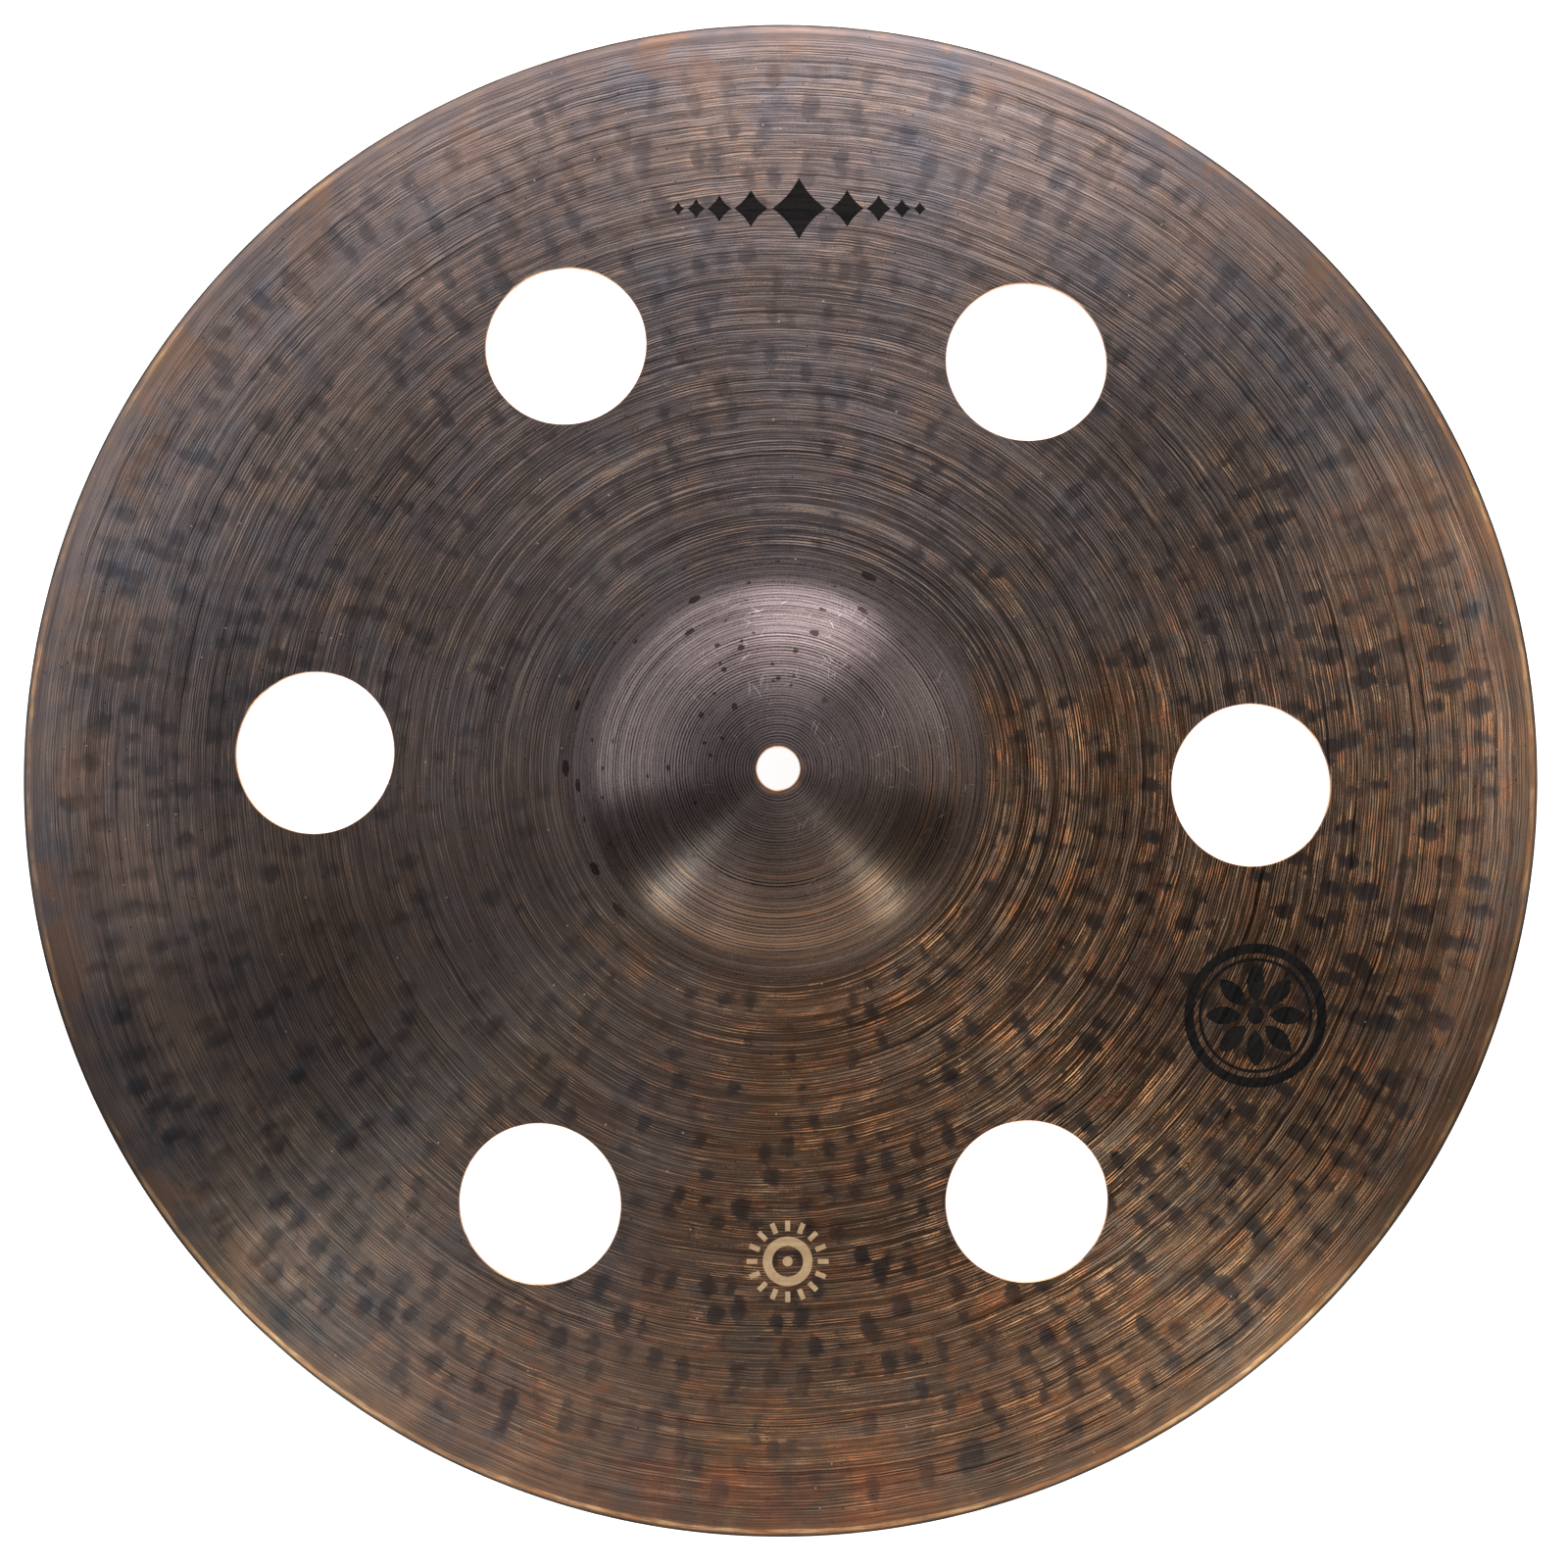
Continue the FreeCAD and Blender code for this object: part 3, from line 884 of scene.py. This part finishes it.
        # Bright lines on the bell's front: partly bare metal, partly painted highlight.
        bare_lines_and_highlight = self.times(
            self.ramp(self.streaks(self.r, *BELL_BARE_STREAKS), 0.60, 0.68),
            self.ramp(self.r, 60.0, 55.0),
            self.ramp(front, 0.0, 0.6, 0.06, 0.42),
            self.ramp(self.r, 20.0, 38.0),
        )
        self.coat(bare_lines_and_highlight, BELL_BARE_AND_HIGHLIGHT)
        self.coat(self.times(bell_drops(self), 0.85), DROP)
        self.coat(self.times(bell_scratches(self), 0.68), SCRATCH)
        copper = self.times(self.band(self.r, 7.0, 7.6, 0.5), self.ramp(self.wear, 0.45, 0.65))
        self.coat(copper, HOLE_COPPER)

    def relief(self):
        """The grooves' heights in millimetres, and the rim's rolled edge."""
        return self.plus(
            self.times(self.lines, 0.018, self.lathed),
            self.times(self.deep, -0.020, self.lathed),
            self.times(self.coarse, 0.030, self.lathed),
            self.ramp(self.r, *ROLL_OFF, 0.0, ROLL_OFF_DROP),
            self.times(self.turning, 0.010, self.on_bell),
            self.times(self.rings, 0.012, self.on_bell),
            self.times(self.cuts, 0.008, self.on_bell),
        )

    def roughness(self):
        return self.plus(
            self.times(self.less(self.lines, 0.5), -0.12),
            self.ramp(self.r, 56.0, 68.0, 0.38, 0.50),
            self.times(self.on_rim, -0.05),
        )


def bronze_material():
    """Dark patina on hammered, lathed bronze, rubbed bright along the crests of its grooves."""
    n = Bronze("patinated_bronze")
    n.run_lathe()
    n.hammer()
    n.lay_patina()
    n.shade_grooves()
    n.rub_crests()
    n.tarnish()
    n.speckle()
    n.wear_rim()
    n.turn_bell()
    tangent = n.add("ShaderNodeTangent", direction_type="RADIAL", axis="Z").outputs[0]
    return n.finish(
        Base_Color=n.base,
        Metallic=1.0,
        Roughness=n.roughness(),
        Anisotropic=0.85,
        Anisotropic_Rotation=0.25,
        Normal=n.bump(n.relief()),
        Tangent=tangent,
    )


def specks(n, scale, size, rarity):
    """Tiny specks, one in some of the cells of a random tiling."""
    away, middle = n.cells(n.place, scale)
    chosen = n.math("GREATER_THAN", n.noise(middle, SPECK_LOT, 0.0), rarity)
    return n.times(n.ramp(away, size, size * 0.5), chosen)


def bell_drops(n):
    """Small dark drops of uneven size, most of them on the bell's back left."""
    seam = math.radians(WARM_BEARING)
    ahead = n.plus(n.times(n.x, -math.cos(seam)), n.times(n.y, -math.sin(seam)))
    aside = n.plus(n.times(n.x, math.sin(seam)), n.times(n.y, -math.cos(seam)))
    around = n.times(n.math("ARCTAN2", aside, ahead), DROP_RADIUS)
    away, middle = n.cells(n.join(around, n.r, 0.0), DROP_SCALE)
    size = n.ramp(n.noise(middle, DROP_LOT, 0.0), 0.44, 0.84, 0.0, 0.26)
    wobble = n.times(n.swing(n.noise(n.place, 1.1, 1.0)), 0.22)
    dot = n.ramp(n.less(n.plus(away, wobble), size), 0.03, -0.03)
    side = n.ramp(n.plus(n.times(n.x, -0.75), n.times(n.y, 0.65)), -16.0, 20.0)
    return n.times(dot, n.math("GREATER_THAN", size, 0.05), side, n.band(n.r, 18.0, 66.0, 2.0))


def bell_scratches(n):
    """Hair scratches across the bell, in three slants, most of them back and right."""
    found = 0.0
    for slant, shift in SCRATCH_SLANTS:
        c, s = math.cos(slant), math.sin(slant)
        along = n.plus(n.times(n.x, c), n.times(n.y, s))
        across = n.plus(n.times(n.x, -s), n.times(n.y, c), shift)
        bend = n.times(n.noise(n.place, 0.05, 1.0), 14.0)
        hair = n.noise(n.join(n.times(along, 0.11), n.times(n.plus(across, bend), 3.2), 0.0))
        found = n.plus(found, n.ramp(hair, 0.66, 0.73))
    patch = n.ramp(n.noise(n.place, 0.07, 2.0), 0.47, 0.60)
    side = n.ramp(n.plus(n.times(n.x, 0.8), n.times(n.y, 0.5)), -25.0, 20.0, 0.25, 1.0)
    return n.times(found, patch, side, n.band(n.r, 16.0, 56.0, 4.0))


# The other materials' colours, and the height of their relief in millimetres.
CUT_DARK = (0.50, 0.24, 0.12)
CUT_BRIGHT = (0.72, 0.42, 0.24)
CUT_STAIN = (0.16, 0.09, 0.06)
FILED_DARK = (0.045, 0.036, 0.028)
FILED_WORN = (0.22, 0.14, 0.07)
BLACK_INK = ((0.012, 0.009, 0.009), (0.001, 0.001, 0.001))
GOLD_INK = ((0.52, 0.36, 0.21), (0.42, 0.27, 0.15))
FINE_RELIEF = 0.02


def cut_material():
    """The drilled walls: bare bronze with the scratches of the cutter running round them."""
    n = Turned("cut_bronze")
    score = n.noise(n.join(n.times(n.x, 0.15), n.times(n.y, 0.15), n.times(n.z, 9.0)), detail=2.0)
    stain = n.noise(n.place, 0.12, 2.0)
    bright = n.mix(n.ramp(score, 0.35, 0.65), CUT_DARK, CUT_BRIGHT)
    base = n.mix(n.ramp(stain, 0.5, 0.72), bright, CUT_STAIN)
    return n.finish(
        Base_Color=base,
        Metallic=1.0,
        Roughness=n.ramp(score, 0.3, 0.7, 0.30, 0.45),
        Normal=n.bump(n.times(score, FINE_RELIEF)),
    )


def edge_material():
    """The filed rim edge: darkened bronze, worn bright in places."""
    n = Turned("rim_edge")
    stain = n.noise(n.place, 0.08, 3.0)
    grain = n.noise(n.place, 1.2, 2.0)
    base = n.mix(n.ramp(stain, 0.45, 0.75), FILED_DARK, FILED_WORN)
    return n.finish(
        Base_Color=base,
        Metallic=1.0,
        Roughness=n.ramp(grain, 0.3, 0.7, 0.35, 0.5),
        Normal=n.bump(n.times(grain, FINE_RELIEF)),
    )


def ink_material(name, light, dark, roughness):
    """Printed ink: slightly uneven, with the metal's grooves showing faintly through it."""
    n = Turned(name)
    groove = n.streaks(n.r, 60.0, 1.15, 2.0)
    speck = n.noise(n.place, 0.9, 3.0)
    uneven = n.plus(groove, n.times(n.swing(speck), 0.6))
    base = n.mix(n.ramp(uneven, 0.3, 0.7), dark, light)
    return n.finish(
        Base_Color=base,
        Roughness=n.ramp(speck, 0.3, 0.7, roughness, roughness + 0.12),
        Specular_IOR_Level=0.1,
        Normal=n.bump(n.times(groove, FINE_RELIEF)),
    )


# ---------------------------------------------------------------- printed marks

# The film of ink stands this far out of the bronze and reaches this far into it.
INK_RISE = 0.05
INK_ROOT = 0.03
INK_SPACING = 1.1
RING_POINTS = 48


def turned_by(angle):
    """What a row of plan points is multiplied by to turn it about the origin."""
    c, s = math.cos(angle), math.sin(angle)
    return np.array(((c, s), (-s, c)))


def lozenge(x, half_width, half_height, count=6):
    """A pointed lozenge with gently hollow sides, its middle at x."""
    corners = np.array([(half_width, 0), (0, half_height), (-half_width, 0), (0, -half_height)])
    outline = []
    for a, b in zip(corners, np.roll(corners, -1, axis=0)):
        for k in range(count):
            t = k / count
            outline.append((a + (b - a) * t) * (1 - 0.5 * t * (1 - t)))
    return np.array(outline) + (x, 0)


def petal(bearing, start, end, half_width, count=10):
    """A leaf shape pointing outwards from the middle of a mark."""
    t = np.linspace(0, 1, count)
    out = start + (end - start) * t
    wide = half_width * np.sin(math.pi * t) ** 0.8
    side = np.column_stack((out, wide))
    back = np.column_stack((out[::-1], -wide[::-1]))[1:-1]
    return np.vstack((side, back)) @ turned_by(bearing)


def bar(bearing, start, end, half_width):
    """A short straight bar pointing outwards."""
    shape = np.array(
        [(start, -half_width), (end, -half_width), (end, half_width), (start, half_width)]
    )
    return shape @ turned_by(bearing)


def dense(loop, step):
    """The loop with points added so that no side is longer than step."""
    result = []
    for a, b in zip(loop, np.roll(loop, -1, axis=0)):
        parts = max(1, math.ceil(np.hypot(*(b - a)) / step))
        result += [a + (b - a) * k / parts for k in range(parts)]
    return np.array(result)


def filled_plan(loops):
    """Triangles inside the loops, by crossings. Gives their points and their indices."""
    low = np.min([loop.min(axis=0) for loop in loops], axis=0)
    high = np.max([loop.max(axis=0) for loop in loops], axis=0)
    xs = np.arange(low[0], high[0], INK_SPACING)
    ys = np.arange(low[1], high[1], INK_SPACING)
    grid = np.array([(x, y) for x in xs for y in ys])
    outline = np.vstack(loops)
    gap = np.array([np.hypot(*(outline - p).T).min() for p in grid])
    plan = np.vstack((outline, grid[gap > INK_SPACING * 0.4]))
    edges = []
    start = 0
    for loop in loops:
        row = range(start, start + len(loop))
        edges += [(i, start + (i + 1 - start) % len(loop)) for i in row]
        start += len(loop)
    found = delaunay_2d_cdt([Vector(p) for p in plan], edges, [], 0, MERGE_DISTANCE, False)
    plan = np.array([tuple(p) for p in found[0]])
    triangles = np.array(found[2])
    middles = plan[triangles].mean(axis=1)
    filled = sum(inside(middles, loop).astype(int) for loop in loops) % 2 == 1
    used, index = np.unique(triangles[filled], return_inverse=True)
    return plan[used], index.reshape(-1, 3)


def print_mark(name, loops, distance, bearing, material):
    """Lays a flat drawing on the top face as a closed film of ink."""
    b = math.radians(bearing)
    middle = np.array((distance * math.cos(b), distance * math.sin(b)))
    plan, triangles = filled_plan([dense(loop, INK_SPACING) + middle for loop in loops])
    count = len(plan)
    points = np.vstack((TOP.lift(plan, -INK_RISE), TOP.lift(plan, INK_ROOT)))
    faces = [list(map(int, t)) for t in triangles]
    faces += [[int(i + count), int(k + count), int(j + count)] for i, j, k in triangles]
    # A side that only one triangle has is on the film's outline, and gets a wall.
    sides = dict.fromkeys(
        side for i, j, k in triangles for side in ((i, j), (j, k), (k, i))
    )
    for a, b in sides:
        if (b, a) not in sides:
            faces.append([int(b), int(a), int(a + count), int(b + count)])
    mesh = bpy.data.meshes.new(name)
    mesh.from_pydata([tuple(p) for p in points * MM], [], faces)
    mesh.polygons.foreach_set("use_smooth", [True] * len(faces))
    mesh.update()
    mesh.set_sharp_from_angle(angle=SHARP_ANGLE)
    mesh.materials.append(material)
    show(name, mesh)


def show(name, mesh):
    piece = bpy.data.objects.new(name, mesh)
    bpy.context.scene.collection.objects.link(piece)
    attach(piece, "root")
    return piece


# ---------------------------------------------------------------- the object

cymbal = show("cymbal_bronze", cymbal_mesh())
for made in (bronze_material(), cut_material(), edge_material()):
    cymbal.data.materials.append(made)
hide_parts("cymbal")

black_ink = ink_material("black_ink", *BLACK_INK, roughness=0.65)
gold_ink = ink_material("gold_ink", *GOLD_INK, roughness=0.5)

# Each mark is drawn about its own middle, in millimetres, and then set in its place.
ornament = [lozenge(0, 8.0, 9.5)]
for side in (-1, 1):
    for x, half in ((14.5, 5.0), (24.0, 3.6), (31.0, 2.6), (36.4, 1.8)):
        ornament.append(lozenge(side * x, half, half * 1.15))
print_mark("front_mark", ornament, distance=170.5, bearing=88.0, material=black_ink)

roundel = [ring_points(radius, RING_POINTS) for radius in (21.5, 18.6, 17.2, 16.2, 2.6)]
roundel += [petal(k * math.pi / 4, 4.2, 15.2, 2.7) for k in range(8)]
print_mark("side_mark", roundel, distance=159.5, bearing=-27.0, material=black_ink)

burst = [ring_points(7.4, RING_POINTS), ring_points(4.6, RING_POINTS), ring_points(1.5, 20)]
burst += [bar(k * math.pi / 8, 9.0, 12.2, 0.75) for k in range(16)]
print_mark("base_mark", burst, distance=145.5, bearing=-89.0, material=gold_ink)

# ---------------------------------------------------------------- floor, light and camera

# The floor, in metres. It lies just under the rim.
FLOOR_HALF = 14.0
FLOOR_HEIGHT = -0.0002
SQUARE = ((-1, -1), (1, -1), (1, 1), (-1, 1))

# Softboxes: bearing and elevation in degrees, width and depth in metres, watts and tint.
LIGHT_DISTANCE = 1.7
WHITE = (1.0, 1.0, 1.0)
ROSE = (1.0, 0.98, 1.0)
COOL = (0.98, 0.99, 1.0)
WARM = (1.0, 0.96, 0.90)
SOFT_WARM = (1.0, 0.97, 0.92)
SOFTBOXES = {
    "back_low": (76, 18, 1.45, 0.55, 15, ROSE),
    "back_high": (97, 33, 1.90, 0.55, 18, ROSE),
    "left_back": (158, 32, 1.50, 0.55, 9.0, COOL),
    "left_front": (241, 32, 0.60, 0.55, 2.8, COOL),
    "left_spot": (225, 26, 0.22, 0.32, 4.6, (0.86, 1.0, 0.97)),
    "front_low": (277, 18, 1.90, 0.55, 11, WARM),
    "right_spot": (311, 26, 0.22, 0.32, 4.9, (0.90, 1.0, 0.93)),
    "right_low": (21, 18, 1.60, 0.55, 7.6, SOFT_WARM),
    "top_back": (30, 74, 0.55, 0.55, 2.5, WHITE),
    "top_front": (300, 74, 0.55, 0.55, 1.7, WHITE),
}


def floor_material():
    """A pale floor that glows softly, like a light table; seen from below it isn't there."""
    n = Nodes("pale_floor")
    diffuse = n.add("ShaderNodeBsdfDiffuse", {"Color": (0.9, 0.9, 0.9, 1)}).outputs[0]
    glow = n.add("ShaderNodeEmission", {"Color": (1, 1, 1, 1), "Strength": 0.9}).outputs[0]
    lit = n.add("ShaderNodeAddShader", {0: diffuse, 1: glow}).outputs[0]
    clear = n.add("ShaderNodeBsdfTransparent").outputs[0]
    back = n.add("ShaderNodeNewGeometry").outputs["Backfacing"]
    mixed = n.add("ShaderNodeMixShader", {0: back, 1: lit, 2: clear}).outputs[0]
    out = n.add("ShaderNodeOutputMaterial")
    n.tree.links.new(mixed, out.inputs[0])
    return n.material


def lay_floor():
    corners = [(x * FLOOR_HALF, y * FLOOR_HALF, FLOOR_HEIGHT) for x, y in SQUARE]
    mesh = bpy.data.meshes.new("floor")
    mesh.from_pydata(corners, [], [(0, 1, 2, 3)])
    mesh.materials.append(floor_material())
    floor = bpy.data.objects.new("floor", mesh)
    bpy.context.scene.collection.objects.link(floor)


def surround(strength, seen):
    """Even light from all round. The camera sees it at another strength, to match the floor."""
    world = bpy.data.worlds.new("studio")
    bpy.context.scene.world = world
    world.use_nodes = True
    tree = world.node_tree
    tree.nodes.clear()
    light = tree.nodes.new("ShaderNodeBackground")
    light.inputs["Strength"].default_value = strength
    view = tree.nodes.new("ShaderNodeBackground")
    view.inputs["Strength"].default_value = seen
    path = tree.nodes.new("ShaderNodeLightPath")
    mix = tree.nodes.new("ShaderNodeMixShader")
    out = tree.nodes.new("ShaderNodeOutputWorld")
    tree.links.new(path.outputs["Is Camera Ray"], mix.inputs[0])
    tree.links.new(light.outputs[0], mix.inputs[1])
    tree.links.new(view.outputs[0], mix.inputs[2])
    tree.links.new(mix.outputs[0], out.inputs[0])


def softbox(name, bearing, elevation, width, depth, power, tint):
    """A rectangular soft light aimed at the cymbal."""
    b, e = math.radians(bearing), math.radians(elevation)
    direction = Vector((math.cos(b) * math.cos(e), math.sin(b) * math.cos(e), math.sin(e)))
    data = bpy.data.lights.new(name, "AREA")
    data.shape = "RECTANGLE"
    data.size = width
    data.size_y = depth
    data.energy = power
    data.color = tint
    lamp = bpy.data.objects.new(name, data)
    lamp.location = direction * LIGHT_DISTANCE
    lamp.rotation_euler = direction.to_track_quat("Z", "Y").to_euler()
    bpy.context.scene.collection.objects.link(lamp)


lay_floor()
surround(strength=0.06, seen=1.25)
for box_name, settings in SOFTBOXES.items():
    softbox(box_name, *settings)

# The camera looks almost straight down the axis, tilted by less than three degrees.
CAMERA_DISTANCE = 1.5
CAMERA_TILT = (math.tan(math.radians(0.47)), math.tan(math.radians(-2.65)), 1.0)
CAMERA_TARGET = Vector((0.00132, -0.00255, 0.0))

camera_data = bpy.data.cameras.new("camera")
camera_data.lens = 114.0
camera_data.sensor_width = 36.0
camera = bpy.data.objects.new("camera", camera_data)
toward = Vector(CAMERA_TILT).normalized()
upward = (Vector((0, 1, 0)) - toward * toward.y).normalized()
camera.location = CAMERA_TARGET + toward * CAMERA_DISTANCE
camera.rotation_euler = Matrix((upward.cross(toward), upward, toward)).transposed().to_euler()
bpy.context.scene.collection.objects.link(camera)
bpy.context.scene.camera = camera
bpy.context.scene.view_settings.view_transform = "Standard"
